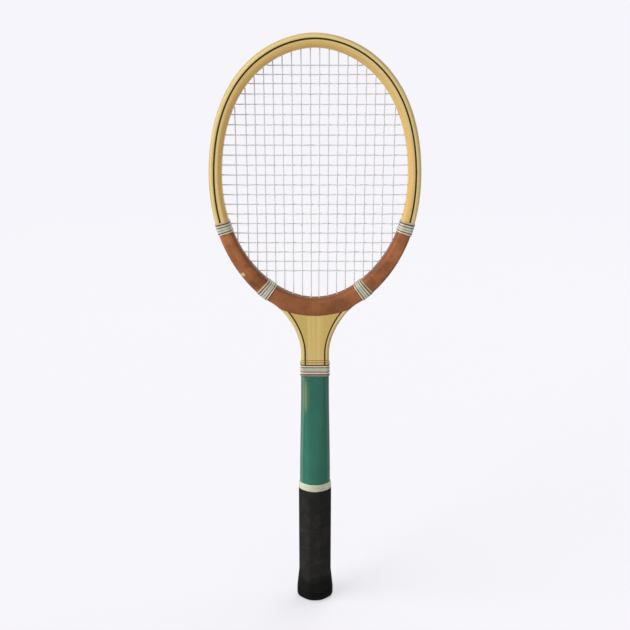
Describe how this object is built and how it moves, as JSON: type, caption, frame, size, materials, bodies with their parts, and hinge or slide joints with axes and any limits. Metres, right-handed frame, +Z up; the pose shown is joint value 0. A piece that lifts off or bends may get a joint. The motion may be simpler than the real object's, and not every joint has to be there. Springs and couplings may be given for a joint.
{
  "type": "wooden racket",
  "caption": "Laminated wooden tennis racket with an oval strung head, solid throat, octagonal handle, striped tape bindings and a wound leather grip.",
  "frame": {"origin": "middle of the flat bottom of the butt cap, which the racket stands on", "axes": "+Z up the handle to the tip of the head, +Y through the faces from front to back, +X to the right across the head"},
  "size_m": [0.2344, 0.0358, 0.685],
  "materials": {
    "pale_ash": "clear gloss lacquer",
    "dark_veneer": "dyed veneer under clear lacquer",
    "beech": "clear lacquer, stained brown round the bottom of the head",
    "maple": "clear gloss lacquer, stained brown at the top",
    "core_wood": "bare, inside the handle",
    "green_lacquer": "green gloss lacquer",
    "striped_tape": "pale tape with plain dark and white stripes",
    "cream_rubber": "matt cream rubber",
    "black_leather": "black, slightly worn",
    "black_plastic": "satin black",
    "string": "pale translucent nylon"
  },
  "bodies": {
    "root": {"outer_bow": "pale_ash", "dark_veneer": "dark_veneer", "inner_hoop": "beech", "throat_wedge": "maple", "handle_core": "core_wood", "front_pallet": "green_lacquer", "back_pallet": "green_lacquer", "right_shoulder_binding": "striped_tape", "left_shoulder_binding": "striped_tape", "right_throat_binding": "striped_tape", "left_throat_binding": "striped_tape", "shaft_binding": "striped_tape", "rubber_collar": "cream_rubber", "leather_grip": "black_leather", "butt_cap": "black_plastic", "main_string": "string", "cross_string": "string"}
  },
  "joints": []
}
